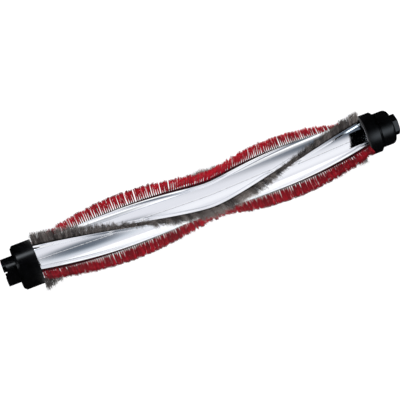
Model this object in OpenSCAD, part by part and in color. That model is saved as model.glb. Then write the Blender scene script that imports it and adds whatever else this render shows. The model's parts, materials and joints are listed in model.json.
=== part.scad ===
// Roller brush of a floor cleaner: a twisted aluminium tube that carries two red and two grey
// bristle strips, a castellated drive coupling at one end and a ball bearing at the other.
// The roller's axis is X, with the drive end at -X. The origin is on the axis, midway along
// the overall length. Angles about the axis are counted from +Y towards +Z.

/* [Roller] */
// Length of the twisted tube, between the end caps
tube_length = 224.4; // [180:0.1:300]
// Radius over the lips beside the bristle slots
lip_radius = 12.4; // [12:0.1:14]
// Radius of the tube between the slots, at the foot of the lips
face_radius = 11.35; // [11.2:0.05:11.6]
// How far each face bulges beyond that radius
face_bulge = 0.4; // [0:0.05:0.8]
// Radius of the bore through the tube
tube_bore_radius = 7; // [6:0.1:7.2]

/* [Twist] */
// Angle of the first grey strip at both ends of the tube, degrees
strip_phase = 51; // [0:1:89]
// Turn of the strips from either end to the middle, degrees
strip_twist = 101; // [0:1:140]
// Distance of the turning point from the middle of the tube, towards the idle end
apex_offset = 4.8; // [-20:0.1:20]
// Rounding of the turning point, as a share of half the tube
apex_rounding = 0.08; // [0.04:0.01:0.3]

/* [Bristles] */
// Radius over the stiff red bristles
red_tip_radius = 21.5; // [18:0.1:24]
// Radius over the soft grey bristles
grey_tip_radius = 22.8; // [18:0.1:24]
// Width of the red bristles at the foot
red_foot_width = 1.8; // [1:0.1:2]
// Width of the red bristles at the tips
red_tip_width = 2.6; // [1.8:0.1:4]
// Width of the grey bristles at the foot
grey_foot_width = 1.8; // [1:0.1:2]
// Width of the grey bristles at the tips
grey_tip_width = 4.2; // [1.8:0.1:5]

/* [Strip slots] */
// Width of a slot at the lips
slot_mouth_width = 2.2; // [2.2:0.1:2.6]
// Width of the pocket under the lips
slot_pocket_width = 4.4; // [4.2:0.1:5]
// Radius of the floor of the pocket
pocket_floor = 8.7; // [8.5:0.1:9]
// Radius of the roof of the pocket
pocket_roof = 10.9; // [10.6:0.1:11]
// Gap between a strip's backing and its slot
slot_gap = 0.15; // [0.1:0.05:0.2]

/* [Drive end] */
// Radius of the drive end cap
drive_cap_radius = 14.8; // [14:0.1:18]
// Length of the drive end cap
drive_cap_length = 13.8; // [12:0.1:20]
// Chamfer on the outer rim of the drive end cap
drive_cap_chamfer = 1.6; // [0.5:0.1:2.5]
// Radius of the coupling
coupling_radius = 9; // [8.3:0.1:10]
// Length of the coupling beyond the cap
coupling_length = 8.2; // [8:0.1:14]
// Depth of the notches in the coupling's end
notch_depth = 2; // [1:0.1:2.5]
// Number of dogs round the coupling's end
dog_count = 4; // [3:1:6]
// Part of each pitch that is notch, degrees out of 360 / dog_count
notch_angle = 30; // [20:1:40]
// Radius of the socket that the drive spindle enters
socket_radius = 5.2; // [4.8:0.1:5.6]
// Length of the socket's full round wall
socket_length = 5; // [4:0.5:5.5]

/* [Idle end] */
// Radius of the idle end cap
idle_cap_radius = 13.4; // [12.6:0.1:14.5]
// Length of the idle end cap's rim
idle_cap_length = 8.5; // [6:0.1:12]
// Axial length of the taper from the rim down to the bearing holder
idle_cap_taper = 1.8; // [1:0.1:3]
// Outside radius of the bearing holder
holder_radius = 11.4; // [10.8:0.1:12]
// Length of the bearing holder, without its key
holder_length = 9.3; // [9.1:0.1:12]
// Length of the hexagonal key on the holder's end
key_length = 3.7; // [2:0.1:8]
// Radius of the key over its corners
key_radius = 7; // [5:0.1:8]
// Gap between the turning cap and the still holder
holder_gap = 0.3; // [0.2:0.05:0.5]

/* [Bearing] */
// Bore radius of the bearing
bearing_bore_radius = 3; // [3:0.5:3]
// Outside radius of the bearing
bearing_radius = 9.5; // [9.5:0.5:9.5]
// Width of the bearing
bearing_width = 6; // [6:0.5:6]
// Radius of the circle that the balls run on
ball_circle = 6.25; // [6.25:0.25:6.25]
// Radius of a ball
ball_radius = 1.7; // [1.5:0.05:1.72]
// Number of balls
ball_count = 7; // [5:1:7]

/* [Hidden] */
$fn = 96;

// Stations along the axis
overall_length = coupling_length + drive_cap_length + tube_length + idle_cap_length
    + idle_cap_taper + holder_gap + holder_length + key_length;
coupling_end = -overall_length / 2;
drive_cap_start = coupling_end + coupling_length;
tube_start = drive_cap_start + drive_cap_length;
tube_end = tube_start + tube_length;
idle_rim_end = tube_end + idle_cap_length;
idle_cap_end = idle_rim_end + idle_cap_taper;
holder_start = idle_cap_end + holder_gap;
holder_end = holder_start + holder_length;
key_end = holder_end + key_length;
apex_x = (tube_start + tube_end) / 2 + apex_offset;

// Red strips sit a quarter turn to either side of the first grey strip
GREY_1 = 0;
RED_1 = -90;
RED_2 = 90;
GREY_2 = 180;

// Turned pieces
end_gap = 0.3;          // bristles to the end caps
foot_gap = 0.1;         // bristles to the top of the backing
lug_length = 2.4;       // cap lugs that enter the slots
lug_width = 3.2;
shaft_radius = bearing_bore_radius;
shaft_fit = 0.05;       // radial gap of the shaft and dowel in the caps
plug_length = 24;       // part of each cap that plugs the tube's bore
plug_fit = 0.05;        // radial gap of that plug in the tube
plug_chamfer = 1;
socket_mouth_step = 0.8; // socket's mouth, between the dogs, beyond the socket's radius
spigot_length = 6;      // hexagonal spigot of the coupling in its cap
spigot_radius = 7;
spigot_gap = 0.06;
screw_radius = 1.5;
screw_head_radius = 2.8;
screw_head_height = 1.7;
screw_length = 15;
screw_hole_gap = 0.1;   // radial gap of the screw in the coupling and washer
screw_thread_gap = 0.05; // radial gap of the screw in the dowel's thread
hex_recess_radius = 1.2;
hex_recess_depth = 1.2;
washer_radius = 3;
washer_thickness = 0.5;
washer_pocket_radius = 3.2;
dowel_length = 28;
shaft_inset = 22;       // length of the idle shaft inside the cap's plug
shaft_chamfer = 0.5;
shaft_tip_length = 1;   // shaft beyond its clip
bearing_inset = 0.8;    // bearing behind the holder's rim
bearing_start = holder_start + bearing_inset;
bearing_end = bearing_start + bearing_width;
bearing_middle = (bearing_start + bearing_end) / 2;
race_gap = 0.1;         // running gap of the balls in their grooves
inner_race_radius = 5.2;
outer_race_bore = 7.3;
shield_thickness = 0.3;
shield_inset = 0.1;
shield_gap = 0.15;
cage_inner_radius = 5.5;
cage_outer_radius = 7;
cage_cut = 3;           // reach of the cutters of the cage's pockets, either way
cage_length = 4.4;
clip_thickness = 0.5;
clip_radius = 4.6;
clip_opening = 3;
clip_groove_radius = 2.6;
clip_gap = 0.05;        // between the clip and its groove, all round
clip_start = bearing_end + 2 * clip_gap;
clip_pocket_radius = 5.6;
clip_pocket_length = 1.9;
shoulder_radius = 3.2;  // rounding of the holder's outer edge
spacer_radius = 4.4;
seal_clearance = 0.2;
seal_thickness = 0.6;
rim_chamfer = 0.8;      // tube side of the idle cap's rim
overlap = 0.01;
cut = 1;                // how far a cutter reaches past the face that it opens

// ---------- Twisted sections ----------

// Even steps between two stations, without the last one
function steps(from, to, count) = [for (i = [0:count - 1]) from + (to - from) * i / count];

// Share of the full turn reached at x: 0 at both ends, 1 at the turning point
function turn_share(x) =
    let (half = x < apex_x ? apex_x - tube_start : tube_end - apex_x)
    let (s = (x - apex_x) / half)
    let (top = sqrt(1 + apex_rounding * apex_rounding) - apex_rounding)
    1 - (sqrt(s * s + apex_rounding * apex_rounding) - apex_rounding) / top;

// Angle of a strip at x, for a strip set off by offset_angle from the first grey one
function strip_angle(x, offset_angle) = strip_phase + offset_angle + strip_twist * turn_share(x);

// Stations of a piece that runs from start to end: the same ones for every piece in between
HALF_STEPS = 16;
SHORTEST_STEP = 0.5;
TUBE_STATIONS = [each steps(tube_start, apex_x, HALF_STEPS),
                 each steps(apex_x, tube_end, HALF_STEPS), tube_end];
function stations(start, end) =
    let (first = start + SHORTEST_STEP)
    let (last = end - SHORTEST_STEP)
    [start, for (x = TUBE_STATIONS) if (x > first && x < last) x, end];

// One section at x: points are [sideways, outwards] from the axis of a strip
function section(points, x, offset_angle) =
    let (a = strip_angle(x, offset_angle))
    [for (p = points) [x, p[1] * cos(a) - p[0] * sin(a), p[1] * sin(a) + p[0] * cos(a)]];

// Triangles between successive sections of count points each
function sweep_sides(sections, count) =
    [for (i = [0:sections - 2]) for (j = [0:count - 1])
        let (a = i * count + j)
        let (b = i * count + (j + 1) % count)
        each [[a, a + count, b], [b, a + count, b + count]]];

// A closed solid swept along the tube, from an outline that runs from -sideways to +sideways
// over the top, so anticlockwise about the axis seen from +X
module twisted_sweep(points, start, end, offset_angle) {
    xs = stations(start, end);
    count = len(points);
    verts = [for (x = xs) each section(points, x, offset_angle)];
    sides = sweep_sides(len(xs), count);
    near_end = [[for (j = [0:count - 1]) j]];
    far_end = [[for (j = [count - 1:-1:0]) (len(xs) - 1) * count + j]];
    polyhedron(points = verts, faces = [each sides, each near_end, each far_end], convexity = 10);
}

function polar_point(radius, angle) = [radius * sin(angle), radius * cos(angle)];
function turned(p, angle) = [p[0] * cos(angle) + p[1] * sin(angle),
                             p[1] * cos(angle) - p[0] * sin(angle)];

// ---------- Tube ----------

// Half of one slot with its lip and half a face, from the slot's middle round to 45 degrees
LIP_EDGE = 12.5;
LIP_FOOT = 16;
FACE_MIDDLE = 45;
FACE_POINTS = 3;
function face_point(angle) =
    let (s = (FACE_MIDDLE - angle) / (FACE_MIDDLE - LIP_FOOT))
    polar_point(face_radius + face_bulge * (1 - s * s), angle);
function slot_side() = [
    [slot_pocket_width / 2, pocket_floor],
    [slot_pocket_width / 2, pocket_roof],
    [slot_mouth_width / 2, pocket_roof],
    [slot_mouth_width / 2, sqrt(lip_radius * lip_radius - pow(slot_mouth_width / 2, 2))],
    polar_point(lip_radius, LIP_EDGE),
    polar_point(face_radius, LIP_FOOT),
    for (i = [1:FACE_POINTS - 1])
        face_point(LIP_FOOT + (FACE_MIDDLE - LIP_FOOT) * i / FACE_POINTS)];
function mirrored(points) = [for (i = [len(points) - 1:-1:0]) [-points[i][0], points[i][1]]];
function tube_quarter() = [each slot_side(), face_point(FACE_MIDDLE),
    for (p = mirrored(slot_side())) turned(p, 90)];
function tube_outline() = [for (k = [0:3]) each [for (p = tube_quarter()) turned(p, 90 * k)]];

module along_x(x) {
    translate([x, 0, 0]) rotate([0, 90, 0]) children();
}

// Corners of one quarter's outline that face the bore, in step with the bore's own corners
BORE_SIDE = [0, 5, 6, 7, 8, 9, 10, 11, 16];
// Triangles that close the end of each lip, which overhangs its slot's pocket
LIP_ENDS = [[0, 1, 5], [1, 4, 5], [1, 2, 4], [2, 3, 4],
            [16, 11, 15], [15, 11, 12], [14, 15, 12], [13, 14, 12]];
BORE_STEP = 360 / (4 * len(BORE_SIDE));

// The tube is one closed surface: twisted outside, straight bore inside, two flat ends
module core_tube() {
    outline = tube_outline();
    count = len(outline);
    quarter = count / 4;
    bore_count = 4 * len(BORE_SIDE);
    last = (len(TUBE_STATIONS) - 1) * count;
    bore_first = len(TUBE_STATIONS) * count;
    angle = strip_angle(tube_start, GREY_1);
    bore_ring = [for (j = [0:bore_count - 1]) polar_point(tube_bore_radius, BORE_STEP * (j + 0.5))];
    rim = [for (k = [0:3]) each [for (j = BORE_SIDE) k * quarter + j]];
    lips = [for (k = [0:3]) each [for (t = LIP_ENDS) [for (j = t) k * quarter + j]]];
    ring = [for (j = [0:bore_count - 1])
        let (n = (j + 1) % bore_count)
        each [[rim[j], rim[n], bore_first + n], [rim[j], bore_first + n, bore_first + j]]];
    start_face = [each lips, each ring];
    end_face = [for (t = start_face) [for (j = [2:-1:0])
        t[j] >= bore_first ? t[j] + bore_count : t[j] + last]];
    bore = [for (j = [0:bore_count - 1])
        let (a = bore_first + j)
        let (b = bore_first + (j + 1) % bore_count)
        [a, b, b + bore_count, a + bore_count]];
    color("silver") polyhedron(
        points = [for (x = TUBE_STATIONS) each section(outline, x, GREY_1),
                  each section(bore_ring, tube_start, GREY_1),
                  each section(bore_ring, tube_end, GREY_1)],
        faces = [each sweep_sides(len(TUBE_STATIONS), count), each start_face, each end_face,
                 each bore],
        convexity = 10);
}

// ---------- Strips ----------

// T-shaped plastic backing that slides in its slot and holds the feet of the bristles
function backing_outline() =
    let (base = slot_pocket_width / 2 - slot_gap)
    let (neck = slot_mouth_width / 2 - slot_gap)
    [[base, pocket_floor + slot_gap], [-base, pocket_floor + slot_gap],
     [-base, pocket_roof - slot_gap], [-neck, pocket_roof - slot_gap],
     [-neck, lip_radius - foot_gap], [neck, lip_radius - foot_gap],
     [neck, pocket_roof - slot_gap], [base, pocket_roof - slot_gap]];

module strip_backing(offset_angle, colour) {
    color(colour) twisted_sweep(backing_outline(), tube_start + lug_length + end_gap,
        tube_end - lug_length - end_gap, offset_angle);
}

function bristle_outline(foot_width, tip_width, tip_radius) =
    [[foot_width / 2, lip_radius + foot_gap], [-foot_width / 2, lip_radius + foot_gap],
     [-tip_width / 2, tip_radius], [tip_width / 2, tip_radius]];

module bristle_fin(offset_angle, foot_width, tip_width, tip_radius, colour) {
    color(colour) twisted_sweep(bristle_outline(foot_width, tip_width, tip_radius),
        tube_start + end_gap, tube_end - end_gap, offset_angle);
}

module red_strip_1() { strip_backing(RED_1, "maroon"); }
module red_strip_2() { strip_backing(RED_2, "maroon"); }
module grey_strip_1() { strip_backing(GREY_1, "black"); }
module grey_strip_2() { strip_backing(GREY_2, "black"); }

module red_bristles_1() {
    bristle_fin(RED_1, red_foot_width, red_tip_width, red_tip_radius, "firebrick");
}
module red_bristles_2() {
    bristle_fin(RED_2, red_foot_width, red_tip_width, red_tip_radius, "firebrick");
}
module grey_bristles_1() {
    bristle_fin(GREY_1, grey_foot_width, grey_tip_width, grey_tip_radius, "dimgray");
}
module grey_bristles_2() {
    bristle_fin(GREY_2, grey_foot_width, grey_tip_width, grey_tip_radius, "dimgray");
}

// ---------- Drive end ----------

// Four lugs that enter the ends of the slots, so that the cap turns the tube
module slot_lugs(start) {
    middle = start + lug_length / 2;
    lug_floor = pocket_floor + 2 * slot_gap;
    lug_height = pocket_roof - pocket_floor - 4 * slot_gap;
    for (k = [0:3])
        rotate([strip_angle(middle, 90 * k), 0, 0])
            translate([start, lug_floor, -lug_width / 2])
                cube([lug_length, lug_height, lug_width]);
}

// Round plug of an end cap, from the cap's face at the origin along +Z
module tube_plug() {
    radius = tube_bore_radius - plug_fit;
    cylinder(r = radius, h = plug_length - plug_chamfer);
    translate([0, 0, plug_length - plug_chamfer])
        cylinder(r1 = radius, r2 = radius - plug_chamfer, h = plug_chamfer);
}

module drive_end_cap() {
    color("black") difference() {
        union() {
            along_x(tube_start) tube_plug();
            along_x(drive_cap_start) cylinder(
                r1 = drive_cap_radius - drive_cap_chamfer, r2 = drive_cap_radius,
                h = drive_cap_chamfer);
            along_x(drive_cap_start + drive_cap_chamfer) cylinder(
                r = drive_cap_radius, h = drive_cap_length - drive_cap_chamfer);
            slot_lugs(tube_start);
        }
        along_x(drive_cap_start - cut) cylinder(
            r = spigot_radius + spigot_gap, h = spigot_length + cut + spigot_gap, $fn = 6);
        along_x(drive_cap_start)
            cylinder(r = shaft_radius + shaft_fit, h = drive_cap_length + plug_length + cut);
    }
}

// Castellated coupling: dogs round the rim, a socket for the spindle and a hexagonal spigot
socket_floor = coupling_end + notch_depth + socket_length;
washer_floor = socket_floor + screw_head_height + washer_thickness;
socket_mouth_radius = socket_radius + socket_mouth_step;

module notch() {
    reach = coupling_radius + cut;
    rotate([0, 0, -notch_angle / 2]) rotate_extrude(angle = notch_angle)
        square([reach, notch_depth + cut]);
}

module drive_coupling() {
    pitch = 360 / dog_count;
    color("black") difference() {
        union() {
            along_x(coupling_end) cylinder(r = coupling_radius, h = coupling_length);
            along_x(drive_cap_start) cylinder(r = spigot_radius, h = spigot_length, $fn = 6);
        }
        along_x(coupling_end - cut) cylinder(r = socket_mouth_radius, h = notch_depth + cut);
        along_x(coupling_end) cylinder(r = socket_radius, h = socket_floor - coupling_end);
        along_x(socket_floor - cut) cylinder(r = washer_pocket_radius,
            h = washer_floor - socket_floor + cut);
        along_x(washer_floor - cut)
            cylinder(r = screw_radius + screw_hole_gap, h = spigot_length + coupling_length);
        for (k = [0:dog_count - 1])
            rotate([strip_phase + pitch * (k + 0.5), 0, 0])
                along_x(coupling_end - cut) notch();
    }
}

module coupling_washer() {
    color("gainsboro") difference() {
        along_x(washer_floor - washer_thickness) cylinder(r = washer_radius, h = washer_thickness);
        along_x(socket_floor)
            cylinder(r = screw_radius + screw_hole_gap, h = coupling_length);
    }
}

module coupling_screw() {
    head_start = washer_floor - washer_thickness - screw_head_height;
    color("gainsboro") difference() {
        union() {
            along_x(head_start) cylinder(r = screw_head_radius, h = screw_head_height);
            along_x(head_start) cylinder(r = screw_radius, h = screw_head_height + screw_length);
        }
        along_x(head_start - cut)
            cylinder(r = hex_recess_radius, h = hex_recess_depth + cut, $fn = 6);
    }
}

dowel_start = drive_cap_start + spigot_length + 2 * spigot_gap;

module drive_dowel() {
    color("lightsteelblue") difference() {
        along_x(dowel_start) cylinder(r = shaft_radius, h = dowel_length);
        along_x(dowel_start - cut)
            cylinder(r = screw_radius + screw_thread_gap, h = screw_length);
    }
}

// ---------- Idle end ----------

module idle_end_cap() {
    rim_inner = idle_cap_radius - rim_chamfer;
    color("black") difference() {
        union() {
            along_x(tube_end) cylinder(r1 = rim_inner, r2 = idle_cap_radius, h = rim_chamfer);
            along_x(tube_end + rim_chamfer)
                cylinder(r = idle_cap_radius, h = idle_cap_length - rim_chamfer);
            along_x(idle_rim_end)
                cylinder(r1 = idle_cap_radius, r2 = holder_radius, h = idle_cap_taper);
            slot_lugs(tube_end - lug_length);
            mirror([1, 0, 0]) along_x(-tube_end) tube_plug();
        }
        along_x(tube_end - plug_length - cut) cylinder(
            r = shaft_radius + shaft_fit, h = idle_cap_end - tube_end + plug_length + 2 * cut);
    }
}

shaft_end = clip_start + clip_thickness + shaft_tip_length;

module idle_shaft() {
    color("lightsteelblue") difference() {
        union() {
            along_x(tube_end - shaft_inset)
                cylinder(r = shaft_radius, h = shaft_end - shaft_chamfer - tube_end + shaft_inset);
            along_x(shaft_end - shaft_chamfer)
                cylinder(r1 = shaft_radius, r2 = shaft_radius - shaft_chamfer, h = shaft_chamfer);
        }
        along_x(clip_start - clip_gap)
            ring(clip_groove_radius, shaft_radius + cut, clip_thickness + 2 * clip_gap);
    }
}

module spacer_sleeve() {
    color("gainsboro") along_x(idle_cap_end) ring(
        shaft_radius + shaft_fit, spacer_radius, bearing_start - idle_cap_end);
}

module ring(inner, outer, length) {
    difference() {
        cylinder(r = outer, h = length);
        translate([0, 0, -cut]) cylinder(r = inner, h = length + 2 * cut);
    }
}

// C-shaped retaining ring in the groove at the end of the shaft
module shaft_clip() {
    color("dimgray") along_x(clip_start) difference() {
        ring(clip_groove_radius + clip_gap, clip_radius, clip_thickness);
        translate([0, -clip_opening / 2, -cut])
            cube([clip_radius + cut, clip_opening, clip_thickness + 2 * cut]);
    }
}

// Bearing: one race turns with the roller, the other sits still in the holder
module ball_groove() {
    rotate_extrude() translate([ball_circle, 0]) circle(r = ball_radius + race_gap);
}

module bearing_inner_race() {
    color("silver") difference() {
        along_x(bearing_start)
            ring(shaft_radius, inner_race_radius, bearing_width);
        along_x(bearing_middle) ball_groove();
    }
}

module bearing_outer_race() {
    color("silver") difference() {
        along_x(bearing_start)
            ring(outer_race_bore, bearing_radius, bearing_width);
        along_x(bearing_middle) ball_groove();
    }
}

module on_ball_circle() {
    for (k = [0:ball_count - 1])
        rotate([360 / ball_count * k, 0, 0]) translate([bearing_middle, ball_circle, 0])
            children();
}

module bearing_balls() {
    color("whitesmoke") on_ball_circle() sphere(r = ball_radius, $fn = 48);
}

module bearing_cage() {
    color("tan") difference() {
        along_x(bearing_middle - cage_length / 2)
            ring(cage_inner_radius, cage_outer_radius, cage_length);
        on_ball_circle() rotate([90, 0, 0])
            cylinder(r = ball_radius + race_gap, h = 2 * cage_cut, center = true);
    }
}

module bearing_shield(start) {
    color("lightgray") along_x(start)
        ring(inner_race_radius + shield_gap, outer_race_bore, shield_thickness);
}

module bearing_shield_inner() {
    bearing_shield(bearing_start + shield_inset);
}

module bearing_shield_outer() {
    bearing_shield(bearing_end - shield_inset - shield_thickness);
}

module dust_seal() {
    color("dimgray") along_x(bearing_start - seal_thickness)
        ring(spacer_radius + seal_clearance, bearing_radius, seal_thickness);
}

// Cup with a rounded outer edge, closed by a hexagonal key that stops it from turning
module bearing_holder() {
    straight = holder_length - shoulder_radius;
    corner = holder_radius - shoulder_radius;
    pocket_end = bearing_end + clip_pocket_length;
    color("black") difference() {
        union() {
            along_x(holder_start) cylinder(r = holder_radius, h = straight);
            along_x(holder_start + straight) rotate_extrude() union() {
                square([corner, shoulder_radius]);
                intersection() {
                    translate([corner, 0]) circle(r = shoulder_radius);
                    square([holder_radius, shoulder_radius]);
                }
            }
            along_x(holder_end - overlap)
                cylinder(r = key_radius, h = key_length + overlap, $fn = 6);
        }
        along_x(holder_start - cut)
            cylinder(r = bearing_radius, h = bearing_end - holder_start + cut);
        along_x(bearing_end - cut)
            cylinder(r = clip_pocket_radius, h = pocket_end - bearing_end + cut);
    }
}

core_tube();
red_strip_1();
red_strip_2();
grey_strip_1();
grey_strip_2();
red_bristles_1();
red_bristles_2();
grey_bristles_1();
grey_bristles_2();
drive_end_cap();
drive_coupling();
drive_dowel();
coupling_screw();
coupling_washer();
idle_end_cap();
idle_shaft();
spacer_sleeve();
shaft_clip();
bearing_inner_race();
bearing_outer_race();
bearing_balls();
bearing_cage();
bearing_shield_inner();
bearing_shield_outer();
dust_seal();
bearing_holder();
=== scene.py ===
"""Brush roll of a floor cleaner: a twisted metal tube with four strips of bristles, black moulded
end caps, a castellated coupling and a keyed bearing holder. Metres, roller along X."""

import json
import math
import random

import bmesh
import bpy
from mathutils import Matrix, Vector


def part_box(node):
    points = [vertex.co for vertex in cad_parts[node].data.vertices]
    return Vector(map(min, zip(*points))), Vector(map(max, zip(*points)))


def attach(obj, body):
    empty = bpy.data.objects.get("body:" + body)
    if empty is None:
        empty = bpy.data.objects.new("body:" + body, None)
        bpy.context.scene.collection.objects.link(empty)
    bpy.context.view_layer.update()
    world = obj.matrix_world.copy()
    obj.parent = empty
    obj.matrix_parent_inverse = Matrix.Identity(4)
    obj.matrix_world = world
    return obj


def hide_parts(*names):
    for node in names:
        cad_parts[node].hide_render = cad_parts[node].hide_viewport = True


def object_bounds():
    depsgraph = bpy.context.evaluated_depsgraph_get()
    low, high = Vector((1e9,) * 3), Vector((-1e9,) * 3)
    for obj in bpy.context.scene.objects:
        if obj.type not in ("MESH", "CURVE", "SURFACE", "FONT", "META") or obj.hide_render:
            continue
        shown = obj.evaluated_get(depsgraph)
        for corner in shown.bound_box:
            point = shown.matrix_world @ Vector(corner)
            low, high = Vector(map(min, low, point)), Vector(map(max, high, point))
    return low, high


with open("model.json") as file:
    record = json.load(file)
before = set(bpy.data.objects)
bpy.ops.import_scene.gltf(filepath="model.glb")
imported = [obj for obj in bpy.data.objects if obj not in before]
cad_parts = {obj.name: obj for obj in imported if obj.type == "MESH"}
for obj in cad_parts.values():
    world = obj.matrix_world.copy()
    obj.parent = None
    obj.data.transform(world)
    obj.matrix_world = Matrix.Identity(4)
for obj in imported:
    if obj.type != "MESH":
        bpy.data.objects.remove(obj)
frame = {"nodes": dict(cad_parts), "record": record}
CAD_BOX = [list(corner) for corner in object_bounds()]

MM = 0.001
scene = bpy.context.scene

# ---------------------------------------------------------------------------
# Sizes, from the frame
# ---------------------------------------------------------------------------

TUBE_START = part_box("core_tube")[0].x
TUBE_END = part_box("core_tube")[1].x
LIP_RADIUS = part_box("core_tube")[1].y
CAP_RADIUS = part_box("drive_end_cap")[1].y
RED_TIP = CAD_BOX[1][1]
GREY_TIP = CAD_BOX[1][2]
FLOOR_Z = CAD_BOX[0][2]

# The strips' turn about the axis, as the solid model has it
STRIP_PHASE = math.radians(51)
STRIP_TWIST = math.radians(101)
APEX_X = (TUBE_START + TUBE_END) / 2 + 4.8 * MM
APEX_ROUNDING = 0.08
RED_1, RED_2 = math.radians(-90), math.radians(90)
GREY_1, GREY_2 = 0.0, math.radians(180)

# The tube's outline, in angles either side of a strip
SLOT_MOUTH = 1.1 * MM
SLOT_POCKET = 2.2 * MM
POCKET_FLOOR = 8.7 * MM
POCKET_ROOF = 10.9 * MM
FACE_RADIUS = 11.35 * MM
FACE_BULGE = 0.4 * MM
LIP_EDGE = math.radians(12.5)
LIP_FOOT = math.radians(15.3)
FACE_MIDDLE = math.radians(45)
MOUTH_ROUNDING = 0.22 * MM
BORE_RADIUS = 7 * MM

TUBE_RINGS = 300
BORE_SIDES = 96
SHARP_EDGE = math.radians(35)


def turn_share(x):
    """Share of the full turn reached at x: 0 at both ends of the tube, 1 at the turning point."""
    half = APEX_X - TUBE_START if x < APEX_X else TUBE_END - APEX_X
    s = (x - APEX_X) / half
    top = math.hypot(1, APEX_ROUNDING) - APEX_ROUNDING
    return 1 - (math.hypot(s, APEX_ROUNDING) - APEX_ROUNDING) / top


def strip_angle(x, offset=0.0):
    return STRIP_PHASE + offset + STRIP_TWIST * turn_share(x)


def about_axis(x, sideways, outwards, angle):
    """The point at x that stands outwards from the axis at angle, and sideways from that line."""
    c, s = math.cos(angle), math.sin(angle)
    return (x, outwards * c - sideways * s, outwards * s + sideways * c)


# ---------------------------------------------------------------------------
# Mesh and node helpers
# ---------------------------------------------------------------------------

def new_object(name, verts, faces, material, smooth=True):
    mesh = bpy.data.meshes.new(name)
    mesh.from_pydata(verts, [], faces)
    mesh.polygons.foreach_set("use_smooth", [smooth] * len(mesh.polygons))
    mesh.materials.append(material)
    mesh.update()
    obj = bpy.data.objects.new(name, mesh)
    scene.collection.objects.link(obj)
    return obj


def grey(value):
    return (value, value, value)


def ramp(nodes, stops):
    made = nodes.new("ShaderNodeValToRGB")
    elements = made.color_ramp.elements
    while len(elements) < len(stops):
        elements.new(0.5)
    for element, (position, colour) in zip(elements, stops):
        element.position = position
        element.color = (*colour, 1)
    return made


class Surface:
    """A new material, with short ways to add nodes to it."""

    def __init__(self, name):
        self.material = bpy.data.materials.new(name)
        self.material.use_nodes = True
        self.nodes = self.material.node_tree.nodes
        self.link = self.material.node_tree.links.new
        self.shader = self.nodes["Principled BSDF"]

    def set(self, socket, value):
        self.shader.inputs[socket].default_value = value

    def feed(self, socket, value):
        self.link(value, self.shader.inputs[socket])

    def add(self, kind, **settings):
        """A node. Each setting goes to the input of that name, or else to the node itself."""
        made = self.nodes.new(kind)
        for key, value in settings.items():
            if key in made.inputs:
                made.inputs[key].default_value = value
            else:
                setattr(made, key, value)
        return made

    def object_place(self):
        return self.add("ShaderNodeTexCoord").outputs["Object"]

    def stretched(self, place, scale):
        mapping = self.add("ShaderNodeMapping")
        mapping.inputs["Scale"].default_value = scale
        self.link(place, mapping.inputs["Vector"])
        return mapping.outputs["Vector"]

    def noise(self, place, scale, detail, roughness=0.5):
        made = self.add("ShaderNodeTexNoise", Scale=scale, Detail=detail, Roughness=roughness)
        self.link(place, made.inputs["Vector"])
        return made.outputs[0]

    def remap(self, value, source, target):
        """Maps a value from one range to another."""
        made = self.add("ShaderNodeMapRange")
        sockets = ("From Min", "From Max", "To Min", "To Max")
        for socket, limit in zip(sockets, (*source, *target)):
            made.inputs[socket].default_value = limit
        self.link(value, made.inputs[0])
        return made.outputs[0]

    def tint(self, value, stops):
        made = ramp(self.nodes, stops)
        self.link(value, made.inputs[0])
        return made.outputs[0]

    def bump(self, height, strength, distance):
        made = self.add("ShaderNodeBump", Strength=strength, Distance=distance)
        self.link(height, made.inputs["Height"])
        self.feed("Normal", made.outputs[0])


# ---------------------------------------------------------------------------
# Materials
# ---------------------------------------------------------------------------

def polished_aluminium():
    """Bright drawn aluminium: fine lines along the twist, a little waviness and faint smudges."""
    surface = Surface("polished_aluminium")
    surface.set("Metallic", 1.0)
    surface.set("Base Color", (0.88, 0.89, 0.91, 1))
    die = surface.add("ShaderNodeUVMap", uv_map="die").outputs[0]
    lines = surface.noise(surface.stretched(die, (300, 1.2, 1)),
                          scale=1.0, detail=3.0, roughness=0.6)
    smudges = surface.noise(surface.object_place(), scale=55.0, detail=4.0)
    surface.feed("Roughness", surface.remap(smudges, (0.3, 0.75), (0.05, 0.1)))
    surface.bump(lines, strength=0.08, distance=0.1 * MM)
    return surface.material


def black_plastic():
    """Satin black moulded plastic with a fine spark texture and a few lighter rub marks."""
    surface = Surface("black_plastic")
    place = surface.object_place()
    marks = surface.noise(place, scale=140.0, detail=5.0, roughness=0.65)
    grain = surface.noise(place, scale=2600.0, detail=2.0)
    surface.feed("Base Color", surface.tint(marks, [(0.35, (0.0008, 0.0008, 0.001)),
                                                    (0.75, (0.0022, 0.0024, 0.003))]))
    surface.feed("Roughness", surface.remap(marks, (0.3, 0.7), (0.19, 0.27)))
    surface.set("Specular IOR Level", 0.25)
    surface.bump(grain, strength=0.12, distance=0.05 * MM)
    return surface.material


def fibre(name, stops, roughness, spread, tip_radius):
    """Bristles: painted shade at the foot, lighter towards the tips, each filament a shade of its
    own.
    """
    surface = Surface(name)
    split = surface.add("ShaderNodeSeparateXYZ")
    surface.link(surface.object_place(), split.inputs[0])
    flat = surface.add("ShaderNodeCombineXYZ")
    for axis in "YZ":
        surface.link(split.outputs[axis], flat.inputs[axis])
    radius = surface.add("ShaderNodeVectorMath", operation="LENGTH")
    surface.link(flat.outputs[0], radius.inputs[0])
    along = surface.remap(radius.outputs["Value"], (LIP_RADIUS, tip_radius), (0, 1))
    shade = surface.add("ShaderNodeAttribute", attribute_name="shade").outputs["Fac"]
    mix = surface.add("ShaderNodeMix", data_type="RGBA", blend_type="MULTIPLY")
    mix.inputs["Factor"].default_value = 1.0
    surface.link(surface.tint(along, stops), mix.inputs["A"])
    surface.link(surface.remap(shade, (0, 1), (1 - spread, 1 + spread)), mix.inputs["B"])
    surface.feed("Base Color", mix.outputs["Result"])
    surface.set("Roughness", roughness)
    surface.set("Specular IOR Level", 0.12)
    return surface.material


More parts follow.
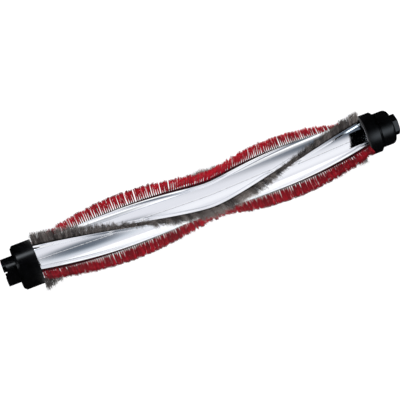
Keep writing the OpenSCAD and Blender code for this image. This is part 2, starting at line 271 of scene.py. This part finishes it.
def moulded_plastic(name, colour):
    """Dull moulded plastic with a fine grain."""
    surface = Surface(name)
    grain = surface.noise(surface.object_place(), scale=900.0, detail=3.0)
    lighter = tuple(c * 1.8 for c in colour)
    surface.feed("Base Color", surface.tint(grain, [(0.3, colour), (0.8, lighter)]))
    surface.set("Roughness", 0.6)
    surface.bump(grain, strength=0.2, distance=0.1 * MM)
    return surface.material


def turned_steel(name, colour, roughness):
    """Turned or ground steel: fine rings round the axis."""
    surface = Surface(name)
    surface.set("Metallic", 1.0)
    rings = surface.noise(surface.stretched(surface.object_place(), (9000, 60, 60)),
                          scale=1.0, detail=2.0)
    darker = tuple(c * 0.8 for c in colour)
    surface.feed("Base Color", surface.tint(rings, [(0.3, darker), (0.7, colour)]))
    surface.set("Roughness", roughness)
    surface.bump(rings, strength=0.15, distance=0.05 * MM)
    return surface.material


def pressed_felt():
    """Dark felt with short hairs."""
    surface = Surface("pressed_felt")
    hairs = surface.noise(surface.object_place(), scale=1800.0, detail=6.0, roughness=0.8)
    surface.feed("Base Color", surface.tint(hairs, [(0.3, grey(0.03)), (0.7, grey(0.1))]))
    surface.set("Roughness", 0.95)
    surface.set("Sheen Weight", 0.4)
    surface.bump(hairs, strength=0.8, distance=0.2 * MM)
    return surface.material


# Bristle colours from the foot, at the tube's lip, to the tip; the near-black first stops are
# painted shade where the bristles go into the slot
RED_STOPS = [(0.0, (0.035, 0.001, 0.003)), (0.1, (0.05, 0.001, 0.004)),
             (0.2, (0.36, 0.006, 0.018)), (0.8, (0.52, 0.01, 0.024)),
             (1.0, (0.17, 0.004, 0.011))]
GREY_STOPS = [(0.0, (0.006, 0.005, 0.004)), (0.03, (0.008, 0.007, 0.006)),
              (0.14, (0.195, 0.17, 0.155)), (0.7, (0.23, 0.203, 0.185)),
              (1.0, (0.42, 0.38, 0.35))]

# By the record's material slots
MATERIALS = {
    "aluminium_tube": polished_aluminium(),
    "black_plastic": black_plastic(),
    "red_nylon": fibre("red_nylon", RED_STOPS, 0.5, 0.6, RED_TIP),
    "grey_fibre": fibre("grey_fibre", GREY_STOPS, 0.8, 0.75, GREY_TIP),
    "red_backing": moulded_plastic("red_backing", (0.03, 0.002, 0.003)),
    "grey_backing": moulded_plastic("grey_backing", (0.004, 0.004, 0.004)),
    "bearing_steel": turned_steel("bearing_steel", (0.62, 0.62, 0.63), 0.18),
    "shaft_steel": turned_steel("shaft_steel", (0.5, 0.51, 0.53), 0.3),
    "zinc_steel": turned_steel("zinc_steel", (0.6, 0.6, 0.57), 0.35),
    "spring_steel": turned_steel("spring_steel", (0.12, 0.12, 0.13), 0.4),
    "cage_nylon": moulded_plastic("cage_nylon", (0.35, 0.27, 0.16)),
    "seal_felt": pressed_felt(),
}


# ---------------------------------------------------------------------------
# Tube
# ---------------------------------------------------------------------------

def arc(radius_of, start, end, count):
    """Points in polar form from start to end, both included."""
    return [(radius_of(start + (end - start) * i / count), start + (end - start) * i / count)
            for i in range(count + 1)]


def smooth_step(t):
    return t * t * (3 - 2 * t)


def face_radius_at(angle):
    s = (FACE_MIDDLE - angle) / (FACE_MIDDLE - LIP_FOOT)
    return FACE_RADIUS + FACE_BULGE * (1 - s * s)


def lip_slope(angle):
    """Radius between the lip's outer edge and its foot."""
    t = (angle - LIP_EDGE) / (LIP_FOOT - LIP_EDGE)
    return LIP_RADIUS + (FACE_RADIUS - LIP_RADIUS) * smooth_step(t)


def half_quarter():
    """One side of a slot with its lip and half a face, as [sideways, outwards] points."""
    mouth_top = math.sqrt(LIP_RADIUS ** 2 - SLOT_MOUTH ** 2)
    points = [(SLOT_POCKET, POCKET_FLOOR), (SLOT_POCKET, POCKET_ROOF),
              (SLOT_MOUTH, POCKET_ROOF), (SLOT_MOUTH, mouth_top - MOUTH_ROUNDING)]
    for i in range(1, 4):
        a = math.pi / 2 * i / 3
        points.append((SLOT_MOUTH + MOUTH_ROUNDING * (1 - math.cos(a)),
                       mouth_top - MOUTH_ROUNDING * (1 - math.sin(a))))
    past_rounding = math.asin((SLOT_MOUTH + MOUTH_ROUNDING) / LIP_RADIUS) + 0.01
    polar = arc(lambda angle: LIP_RADIUS, past_rounding, LIP_EDGE, 4)
    polar += arc(lip_slope, LIP_EDGE, LIP_FOOT, 7)[1:]
    polar += arc(face_radius_at, LIP_FOOT, FACE_MIDDLE, 14)[1:]
    return points + [(r * math.sin(a), r * math.cos(a)) for r, a in polar]


def tube_outline():
    """The whole outline, anticlockwise about the axis, as [sideways, outwards] points."""
    side = half_quarter()
    quarter = side + [(h, t) for t, h in reversed(side[:-1])]
    outline = []
    for k in range(4):
        c, s = math.cos(math.pi / 2 * k), math.sin(math.pi / 2 * k)
        outline += [(t * c + h * s, h * c - t * s) for t, h in quarter]
    return outline


def build_tube():
    outline = tube_outline()
    count = len(outline)
    verts = []
    for i in range(TUBE_RINGS + 1):
        x = TUBE_START + (TUBE_END - TUBE_START) * i / TUBE_RINGS
        angle = strip_angle(x)
        verts += [about_axis(x, t, h, angle) for t, h in outline]
    faces = [(i * count + j, i * count + (j + 1) % count,
              (i + 1) * count + (j + 1) % count, (i + 1) * count + j)
             for i in range(TUBE_RINGS) for j in range(count)]
    # the bore
    for x in (TUBE_START, TUBE_END):
        verts += [(x, BORE_RADIUS * math.cos(2 * math.pi * k / BORE_SIDES),
                   BORE_RADIUS * math.sin(2 * math.pi * k / BORE_SIDES))
                  for k in range(BORE_SIDES)]
    near = (TUBE_RINGS + 1) * count
    far = near + BORE_SIDES
    faces += [(near + k, far + k, far + (k + 1) % BORE_SIDES, near + (k + 1) % BORE_SIDES)
              for k in range(BORE_SIDES)]
    tube = new_object("tube", verts, faces, MATERIALS["aluminium_tube"])
    close_ends(tube, count, near, far)
    write_die_lines(tube, count)
    tube.data.set_sharp_from_angle(angle=SHARP_EDGE)
    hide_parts("core_tube")
    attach(tube, "roller")


def close_ends(tube, count, near, far):
    """Fills the ring between the outline and the bore at both ends."""
    bm = bmesh.new()
    bm.from_mesh(tube.data)
    bm.verts.ensure_lookup_table()
    for first, bore_first in ((0, near), (TUBE_RINGS * count, far)):
        outer = [bm.verts[first + j] for j in range(count)]
        inner = [bm.verts[bore_first + k] for k in range(BORE_SIDES)]
        edges = [bm.edges.get((loop[j], loop[(j + 1) % len(loop)]))
                 for loop in (outer, inner) for j in range(len(loop))]
        bmesh.ops.triangle_fill(bm, use_beauty=True, edges=edges)
    bmesh.ops.recalc_face_normals(bm, faces=bm.faces)
    bm.to_mesh(tube.data)
    bm.free()


def write_die_lines(tube, count):
    """UVs that follow the twist: U round the outline, V along the tube."""
    layer = tube.data.uv_layers.new(name="die")
    for polygon in tube.data.polygons:
        corners = [(v % count, v // count) for v in polygon.vertices]
        wraps = max(c[0] for c in corners) - min(c[0] for c in corners) > count / 2
        for loop, (j, i) in zip(polygon.loop_indices, corners):
            j = j + count if wraps and j < count / 2 else j
            layer.data[loop].uv = (j / count, i / TUBE_RINGS)


# ---------------------------------------------------------------------------
# Bristles
# ---------------------------------------------------------------------------

BRISTLE_FOOT = LIP_RADIUS - 1.0 * MM
ROOT_FOOT = LIP_RADIUS - 1.2 * MM
ROOT_STEPS = 240
# How dark the ridge of feet is drawn: painted shade in the slot mouth
ROOT_PAINTED_SHADE = 0.3

# How far either side of the turning point its effect reaches, and how tufts lean there
TURN_REACH = 30 * MM
TURN_LEAN = 0.34
TURN_LEAN_SHIFT = 4 * MM

# From where, measured from the drive end, the bristles get shorter, and over what length
DRIVE_TRIM_FROM, DRIVE_TRIM_REACH = 35 * MM, 30 * MM

# Each red bank's filaments in a tuft, half the width of the tuft's foot, how far it fans out, and
# how unevenly tufts lean
RED_TUFTS = {1: (28, 0.26 * MM, 0.045, 0.022), 2: (38, 0.29 * MM, 0.075, 0.02)}
# How much lighter each red bank is painted, all along and at the turning point: all along, painted
# light on the top bank and painted shade on the bottom one
RED_PAINTED_LIGHT = {1: (0.16, 0.4), 2: (-0.12, 0.0)}
# How much each red bank is shortened at the turning point
RED_TURNS = {1: 0.8 * MM, 2: 0.0}
# How each grey bank is laid over and shortened at the turning point
GREY_TURNS = {1: (-0.17, 1.7 * MM), 2: (0.1, 0.0)}
# How much is cut off at the drive end and at the idle end, and how far from the idle end that
# starts
RED_TRIMS = {1: (0.5 * MM, 2.4 * MM, 120 * MM), 2: (0.1 * MM, 0.0, 60 * MM)}
GREY_TRIMS = {1: (1.1 * MM, 2.9 * MM, 70 * MM), 2: (0.0, 1.2 * MM, 70 * MM)}


class Strands:
    """Gathers thin tapered filaments into one mesh, with a shade on each."""

    def __init__(self, sides):
        self.sides = sides
        self.verts, self.faces, self.shades = [], [], []

    def add(self, path, radius, tip_radius, shade):
        """A filament along a list of points, closed at both ends."""
        first = len(self.verts)
        (x0, y0, z0), (x1, y1, z1) = path[0], path[-1]
        direction = (x1 - x0, y1 - y0, z1 - z0)
        size = math.sqrt(sum(c * c for c in direction))
        d = tuple(c / size for c in direction)
        # two directions across the filament
        side = (0.0, d[2], -d[1])
        norm = math.hypot(side[1], side[2]) or 1.0
        side = (0.0, side[1] / norm, side[2] / norm)
        up = (d[1] * side[2] - d[2] * side[1], d[2] * side[0] - d[0] * side[2],
              d[0] * side[1] - d[1] * side[0])
        last = len(path) - 1
        for i, point in enumerate(path):
            r = radius + (tip_radius - radius) * i / last
            for k in range(self.sides):
                a = 2 * math.pi * k / self.sides
                c, s = r * math.cos(a), r * math.sin(a)
                self.verts.append(tuple(p + side[n] * c + up[n] * s
                                        for n, p in enumerate(point)))
                self.shades.append(shade)
        for i in range(last):
            for k in range(self.sides):
                a, b = first + i * self.sides + k, first + i * self.sides + (k + 1) % self.sides
                self.faces.append((a, b, b + self.sides, a + self.sides))
        tip = first + last * self.sides
        self.faces.append(tuple(tip + k for k in range(self.sides)))
        self.faces.append(tuple(first + self.sides - 1 - k for k in range(self.sides)))

    def add_root(self, half, high, offset):
        """The close-packed feet of the whole bank, as one low ridge along the slot, dark with
        painted shade.
        """
        first = len(self.verts)
        section = ((-half, ROOT_FOOT), (-half, high), (half, high), (half, ROOT_FOOT))
        for i in range(ROOT_STEPS + 1):
            x = TUBE_START + (TUBE_END - TUBE_START) * i / ROOT_STEPS
            angle = strip_angle(x, offset)
            for sideways, outwards in section:
                self.verts.append(about_axis(x, sideways, outwards, angle))
                self.shades.append(ROOT_PAINTED_SHADE)
        for i in range(ROOT_STEPS):
            for k in range(4):
                a, b = first + 4 * i + k, first + 4 * i + (k + 1) % 4
                self.faces.append((a, b, b + 4, a + 4))
        last = first + 4 * ROOT_STEPS
        self.faces += [(first + 3, first + 2, first + 1, first),
                       (last, last + 1, last + 2, last + 3)]

    def build(self, name, material):
        obj = new_object(name, self.verts, self.faces, material)
        shade = obj.data.attributes.new("shade", "FLOAT", "POINT")
        shade.data.foreach_set("value", self.shades)
        return obj


def near_turn(x):
    """1 at the turning point, falling smoothly to almost 0 about 60 mm either side of it."""
    return math.exp(-((x - APEX_X) / TURN_REACH) ** 2)


def lean_along(x):
    """How far the tufts lean towards the idle end: they fan out round the turning point."""
    return TURN_LEAN * math.exp(-((x - APEX_X - TURN_LEAN_SHIFT) / TURN_REACH) ** 2)


def clamp(value):
    return min(1.0, max(0.0, value))


def trimmed_end(x, drive_cut, idle_cut, idle_reach):
    """How much shorter the bristles are near the two ends of the tube."""
    drive = smooth_step(clamp((TUBE_START + DRIVE_TRIM_FROM - x) / DRIVE_TRIM_REACH))
    idle = smooth_step(clamp((x - TUBE_END + idle_reach) / idle_reach))
    return drive_cut * drive + idle_cut * idle


def filament(x, sideways, length, lean, sway, curl, angle, segments):
    """Points of one filament, from its foot outwards."""
    path = []
    for i in range(segments + 1):
        t = i / segments
        path.append(about_axis(x + length * t * lean + curl * t * t,
                               sideways + length * t * sway + curl * t * t,
                               BRISTLE_FOOT + length * t, angle))
    return path


def finish_bank(strands, name, number, material_name):
    bank = strands.build(f"{name}_bank_{number}", MATERIALS[material_name])
    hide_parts(f"{name}_bristles_{number}")
    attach(bank, "roller")
    # its reflections would draw dark lines in the tube that the real one does not show
    bank.visible_glossy = False


def build_red_bristles(number, offset):
    """Stiff filaments in separate tufts: narrow at the foot, fanned out and ragged at the tips."""
    rng = random.Random(10 + number)
    strands = Strands(4)
    pitch, foot_depth = 1.35 * MM, 0.6 * MM
    start = TUBE_START + 0.9 * MM
    tufts = int((TUBE_END - 0.6 * MM - start) / pitch) + 1
    filaments, foot_half, fan, unevenness = RED_TUFTS[number]
    lighter, lighter_at_turn = RED_PAINTED_LIGHT[number]
    for n in range(tufts):
        x0 = start + n * pitch + rng.uniform(-0.08, 0.08) * MM
        tuft_lean = lean_along(x0) + rng.gauss(0, unevenness)
        tuft_sway = rng.gauss(0, 0.04)
        tuft_cut = (rng.gauss(0.1, 0.25) * MM - RED_TURNS[number] * near_turn(x0)
                    - trimmed_end(x0, *RED_TRIMS[number]))
        # each bank's offset is painted light on the top bank and painted shade on the bottom one
        tuft_shade = rng.uniform(0.3, 0.7) + lighter + lighter_at_turn * near_turn(x0)
        for _ in range(filaments):
            r, a = math.sqrt(rng.random()), rng.uniform(0, 2 * math.pi)
            across, deep = r * math.cos(a), r * math.sin(a)
            x, sideways = x0 + foot_half * across, foot_depth * deep
            length = RED_TIP + tuft_cut + rng.uniform(-1.3, 0.2) * MM - BRISTLE_FOOT
            lean = tuft_lean + fan * across + rng.gauss(0, 0.022)
            sway = tuft_sway + 0.05 * deep + rng.gauss(0, 0.05)
            path = filament(x, sideways, length, lean, sway, rng.gauss(0, 0.15) * MM,
                            strip_angle(x, offset), 4)
            shade = clamp(tuft_shade + rng.gauss(0, 0.35))
            strands.add(path, 0.1 * MM, 0.09 * MM, shade)
    strands.add_root(0.85 * MM, LIP_RADIUS + 0.5 * MM, offset)
    finish_bank(strands, "red", number, "red_nylon")


def build_grey_bristles(number, offset):
    """Fine soft fibres, close together, that gather in loose locks."""
    rng = random.Random(20 + number)
    strands = Strands(3)
    pitch, fibres = 1.5 * MM, 62
    start = TUBE_START + 0.5 * MM
    locks = int((TUBE_END - 0.5 * MM - start) / pitch)
    turn_sway, turn_cut = GREY_TURNS[number]
    for n in range(locks):
        middle = start + (n + 0.5) * pitch
        # the last locks lean out over the end cap
        end_lean = 0.25 * math.exp((middle - TUBE_END) / (6 * MM))
        lock_lean = 0.5 * lean_along(middle) + end_lean + rng.gauss(0, 0.045)
        lock_sway = turn_sway * near_turn(middle) + rng.gauss(0, 0.05)
        lock_cut = (rng.gauss(-0.1, 0.35) * MM - turn_cut * near_turn(middle)
                    - trimmed_end(middle, *GREY_TRIMS[number]))
        lock_shade = rng.uniform(0.0, 1.0) - 0.2 + 0.34 * near_turn(middle)
        for _ in range(fibres):
            across, deep = rng.uniform(-0.55, 0.55), rng.uniform(-1, 1)
            x, sideways = middle + pitch * across, 0.85 * MM * deep
            length = GREY_TIP + lock_cut + rng.uniform(-1.3, 0.1) * MM - BRISTLE_FOOT
            lean = lock_lean - 0.03 * across + rng.gauss(0, 0.085)
            sway = lock_sway + 0.09 * deep + rng.gauss(0, 0.05)
            path = filament(x, sideways, length, lean, sway, rng.gauss(0, 0.35) * MM,
                            strip_angle(x, offset), 3)
            shade = clamp(lock_shade + rng.gauss(0, 0.15))
            strands.add(path, 0.085 * MM, 0.05 * MM, shade)
    strands.add_root(0.9 * MM, LIP_RADIUS, offset)
    finish_bank(strands, "grey", number, "grey_fibre")


# ---------------------------------------------------------------------------
# Solid model's own pieces: materials and eased edges
# ---------------------------------------------------------------------------

EASED_EDGES = {"drive_end_cap": 0.25 * MM, "idle_end_cap": 0.25 * MM,
               "drive_coupling": 0.2 * MM, "bearing_holder": 0.25 * MM}


def dress_cad_nodes():
    slots = {part["node"]: part["material_slot"] for part in frame["record"]["subparts"]}
    for name, obj in frame["nodes"].items():
        for slot in obj.material_slots:
            slot.material = MATERIALS[slots[name]]
        if name in EASED_EDGES:
            bevel = obj.modifiers.new("eased_edges", "BEVEL")
            bevel.width = EASED_EDGES[name]
            bevel.segments = 3
            bevel.limit_method = "ANGLE"
            bevel.angle_limit = math.radians(28)
            bevel.harden_normals = False


# ---------------------------------------------------------------------------
# Camera
# ---------------------------------------------------------------------------

YAW = math.radians(22)
ELEVATION = math.radians(71)
CAMERA_DISTANCE = 1.4
FIELD_WIDTH = 0.2556
SENSOR = 36.0
# How far the roller's middle sits from the middle of the picture, to the right and up
AIM_RIGHT, AIM_UP = 1.84 * MM, 1.5 * MM


def in_view(right_by, up_by, back_by):
    """The point that far right of and above the roller's middle, and that far to the camera."""
    right = (math.cos(YAW), -math.sin(YAW), 0.0)
    back = (-math.sin(YAW) * math.cos(ELEVATION), -math.cos(YAW) * math.cos(ELEVATION),
            math.sin(ELEVATION))
    up = (back[1] * right[2] - back[2] * right[1], back[2] * right[0] - back[0] * right[2],
          back[0] * right[1] - back[1] * right[0])
    return tuple(right[i] * right_by + up[i] * up_by + back[i] * back_by for i in range(3))


def build_camera():
    data = bpy.data.cameras.new("camera")
    data.sensor_width = SENSOR
    data.lens = SENSOR / 2 / (FIELD_WIDTH / 2 / CAMERA_DISTANCE)
    data.clip_start, data.clip_end = 0.05, 20
    camera = bpy.data.objects.new("camera", data)
    scene.collection.objects.link(camera)
    camera.location = in_view(-AIM_RIGHT, -AIM_UP, CAMERA_DISTANCE)
    direction = Vector(in_view(-AIM_RIGHT, -AIM_UP, 0)) - camera.location
    camera.rotation_euler = direction.to_track_quat("-Z", "Y").to_euler()
    scene.camera = camera


# ---------------------------------------------------------------------------
# Studio. Height angles are in degrees from overhead towards the back, about the roller's axis.
# ---------------------------------------------------------------------------

FLOOR_HALF = 3.0
FLOOR_GLOW = 0.88

# Soft light dome. Each band: brightness, height angle of its middle, half-width, and how flat its
# middle is.
DOME_LEVEL = 0.88
DOME_TOP = 1.6
DOME_BANDS = [
    (1.02, -50, 24, 2),      # front bank
    (1.35, 84, 15, 2),       # back bank, low
    (0.35, 64.5, 1.6, 1),    # join under the back bank
]
# The dome's colour by its brightness: the darker, the bluer
DOME_COLOURS = [(0.0, grey(0.0)), (0.12, (0.09, 0.12, 0.16)), (0.45, (0.24, 0.28, 0.34)),
                (0.8, (0.49, 0.495, 0.53)), (DOME_TOP, grey(1.0))]

# Cards bent round the roller that only reflections show, soft at their edges. Each one: name,
# middle and half-length along X in mm, height angle of its middle, half-width, colour, density.
FLAG_RADIUS = 200 * MM
FLAGS = [
    ("join", 0, 300, -15.3, 1.5, (1.1, 1.1, 1.1), 0.8),
    ("gap", 0, 300, -19.8, 1.2, (0.12, 0.13, 0.16), 0.8),
    ("flag_left", -68, 42, -24, 38, (0.06, 0.085, 0.12), 0.88),
    ("flag_left_low", -64, 50, -52, 28, (0.62, 0.68, 0.76), 0.8),
    ("flag_left_back", -58, 48, 88, 26, (0.12, 0.15, 0.19), 0.65),
    ("flag_right_back", 178, 128, 60, 48, (0.06, 0.085, 0.12), 0.96),
]

# Dark hoods over the roller's ends that only reflections show. Each one: name, x in mm of its
# mouth and of its far wall, from and to which height angle it reaches (None for the whole way
# round, down to the floor), and the soft bright band inside it: height angle, half-width,
# brightness, colour.
HOOD_RADIUS = 45 * MM
HOODS = [
    ("hood_drive_end", -112, -300, None, 26, 6, 8.0, (0.86, 0.93, 1.0)),
    ("hood_idle_end", 115.5, 300, None, -38, 19, 3.4, (0.8, 0.9, 1.0)),
    ("hood_tube_end", 106.5, 120.2, (-66, 34), 0, 1, 0.0, (1, 1, 1)),
]
CARD_STEPS = 64

# Bright ring in front of the drive end's hood, seen only by what looks towards that end
SCREEN_X = -112.2 * MM
SCREEN_LEVEL = 0.95
SCREEN_SIDES = 48


class Sums:
    """Writes sums as chains of math nodes."""

    def __init__(self, tree):
        self.nodes, self.links = tree.nodes, tree.links

    def do(self, operation, *values):
        made = self.nodes.new("ShaderNodeMath")
        made.operation = operation
        for socket, value in zip(made.inputs, values):
            if isinstance(value, (int, float)):
                socket.default_value = value
            else:
                self.links.new(value, socket)
        return made.outputs[0]

    def reach(self, value, middle, half):
        """How far a value is from the middle, squared, in half-widths."""
        reach = self.do("DIVIDE", self.do("SUBTRACT", value, middle), half)
        return self.do("MULTIPLY", reach, reach)

    def bell(self, squared_reach, flat):
        """1 in the middle, falling smoothly to 0 past a reach of 1."""
        return self.do("EXPONENT", self.do("MULTIPLY", self.do("POWER", squared_reach, flat), -1.0))

    def height_angle(self, space):
        """The height angle, and the place along X."""
        coordinates = self.nodes.new("ShaderNodeTexCoord")
        split = self.nodes.new("ShaderNodeSeparateXYZ")
        self.links.new(coordinates.outputs[space], split.inputs[0])
        angle = self.do("ARCTAN2", split.outputs["Y"], split.outputs["Z"])
        return self.do("MULTIPLY", angle, 180 / math.pi), split.outputs["X"]


def build_floor():
    """A white table, lit from below a little, as a light table is."""
    corners = ((-1, -1), (1, -1), (1, 1), (-1, 1))
    verts = [(x * FLOOR_HALF, y * FLOOR_HALF, FLOOR_Z) for x, y in corners]
    surface = Surface("floor_white")
    surface.set("Base Color", (0.3, 0.3, 0.3, 1))
    surface.set("Roughness", 0.9)
    surface.set("Specular IOR Level", 0.0)
    surface.set("Emission Color", (1, 1, 1, 1))
    surface.set("Emission Strength", FLOOR_GLOW)
    floor = new_object("floor", verts, [(0, 1, 2, 3)], surface.material, smooth=False)
    floor.visible_diffuse = False


def reflection_only(name, verts, faces, material):
    card = new_object(name, verts, faces, material, smooth=False)
    card.visible_camera = card.visible_diffuse = card.visible_shadow = False


def emission_material(name):
    material = bpy.data.materials.new(name)
    material.use_nodes = True
    tree = material.node_tree
    tree.nodes.clear()
    glow = tree.nodes.new("ShaderNodeEmission")
    out = tree.nodes.new("ShaderNodeOutputMaterial")
    tree.links.new(glow.outputs[0], out.inputs["Surface"])
    return material, tree, glow, out


def bent_card(x_range, angles, radius):
    """Verts and faces of a card bent round the axis, between two height angles."""
    low, high = angles
    ring = [math.radians(low + (high - low) * i / CARD_STEPS) for i in range(CARD_STEPS + 1)]
    verts = [(x, radius * math.sin(a), radius * math.cos(a)) for x in x_range for a in ring]
    count = len(ring)
    faces = [(i, i + 1, count + i + 1, count + i) for i in range(CARD_STEPS)]
    return verts, faces


def build_flag(layer, name, middle_x, half_x, middle, half, colour, density):
    material, tree, glow, out = emission_material(name)
    sums = Sums(tree)
    angle, x = sums.height_angle("Object")
    reach = sums.do("ADD", sums.reach(x, middle_x * MM, half_x * MM),
                    sums.reach(angle, middle, half))
    glow.inputs["Color"].default_value = (*colour, 1)
    clear = tree.nodes.new("ShaderNodeBsdfTransparent")
    mix = tree.nodes.new("ShaderNodeMixShader")
    tree.links.new(sums.do("MULTIPLY", sums.bell(reach, 2.0), density), mix.inputs[0])
    tree.links.new(clear.outputs[0], mix.inputs[1])
    tree.links.new(glow.outputs[0], mix.inputs[2])
    tree.links.new(mix.outputs[0], out.inputs["Surface"])
    x_range = ((middle_x - 1.5 * half_x) * MM, (middle_x + 1.5 * half_x) * MM)
    verts, faces = bent_card(x_range, (middle - 1.5 * half, middle + 1.5 * half),
                             FLAG_RADIUS + layer * MM)
    reflection_only(name, verts, faces, material)


def build_hood(name, mouth_x, far_x, reach, middle, half, level, colour):
    material, tree, glow, _ = emission_material(name)
    sums = Sums(tree)
    angle, _ = sums.height_angle("Object")
    weight = sums.bell(sums.reach(angle, middle, half), 1.0)
    glow.inputs["Color"].default_value = (*colour, 1)
    tree.links.new(sums.do("MULTIPLY", weight, level), glow.inputs["Strength"])
    x_range = (mouth_x * MM, far_x * MM)
    if reach is None:
        low = math.degrees(math.acos((FLOOR_Z + 0.3 * MM) / HOOD_RADIUS))
        verts, faces = bent_card(x_range, (-low, low), HOOD_RADIUS)
        count = CARD_STEPS + 1
        faces.append((count - 1, 0, count, 2 * count - 1))
        faces.append(tuple(range(count, 2 * count)))
    else:
        verts, faces = bent_card(x_range, reach, HOOD_RADIUS - 1 * MM)
    reflection_only(name, verts, faces, material)


def build_screen():
    material, tree, glow, out = emission_material("mouth_screen")
    glow.inputs["Strength"].default_value = SCREEN_LEVEL
    clear = tree.nodes.new("ShaderNodeBsdfTransparent")
    side = tree.nodes.new("ShaderNodeNewGeometry")
    mix = tree.nodes.new("ShaderNodeMixShader")
    tree.links.new(side.outputs["Backfacing"], mix.inputs[0])
    tree.links.new(glow.outputs[0], mix.inputs[1])
    tree.links.new(clear.outputs[0], mix.inputs[2])
    tree.links.new(mix.outputs[0], out.inputs["Surface"])
    turns = [2 * math.pi * k / SCREEN_SIDES for k in range(SCREEN_SIDES)]
    verts = [(SCREEN_X, radius * math.cos(a), radius * math.sin(a))
             for radius in (CAP_RADIUS + 0.5 * MM, HOOD_RADIUS) for a in turns]
    faces = [(k, SCREEN_SIDES + k, SCREEN_SIDES + (k + 1) % SCREEN_SIDES, (k + 1) % SCREEN_SIDES)
             for k in range(SCREEN_SIDES)]
    reflection_only("mouth_screen", verts, faces, material)


def build_dome():
    world = bpy.data.worlds.new("studio")
    world.use_nodes = True
    tree = world.node_tree
    sums = Sums(tree)
    angle, _ = sums.height_angle("Generated")
    level = DOME_LEVEL
    for value, middle, half, flat in DOME_BANDS:
        weight = sums.bell(sums.reach(angle, middle, half), flat)
        change = sums.do("MULTIPLY", sums.do("SUBTRACT", value, level), weight)
        level = sums.do("ADD", level, change)
    colour = ramp(tree.nodes, [(value / DOME_TOP, tint) for value, tint in DOME_COLOURS])
    tree.links.new(sums.do("DIVIDE", level, DOME_TOP), colour.inputs[0])
    background = tree.nodes["Background"]
    tree.links.new(colour.outputs[0], background.inputs["Color"])
    background.inputs["Strength"].default_value = DOME_TOP
    world.cycles.sampling_method = "NONE"
    scene.world = world


def build_studio():
    build_floor()
    build_dome()
    for layer, flag in enumerate(FLAGS):
        build_flag(layer, *flag)
    for hood in HOODS:
        build_hood(*hood)
    build_screen()
    scene.view_settings.view_transform = "Standard"


# ---------------------------------------------------------------------------

build_camera()
build_studio()
dress_cad_nodes()
build_tube()
build_red_bristles(1, RED_1)
build_red_bristles(2, RED_2)
build_grey_bristles(1, GREY_1)
build_grey_bristles(2, GREY_2)
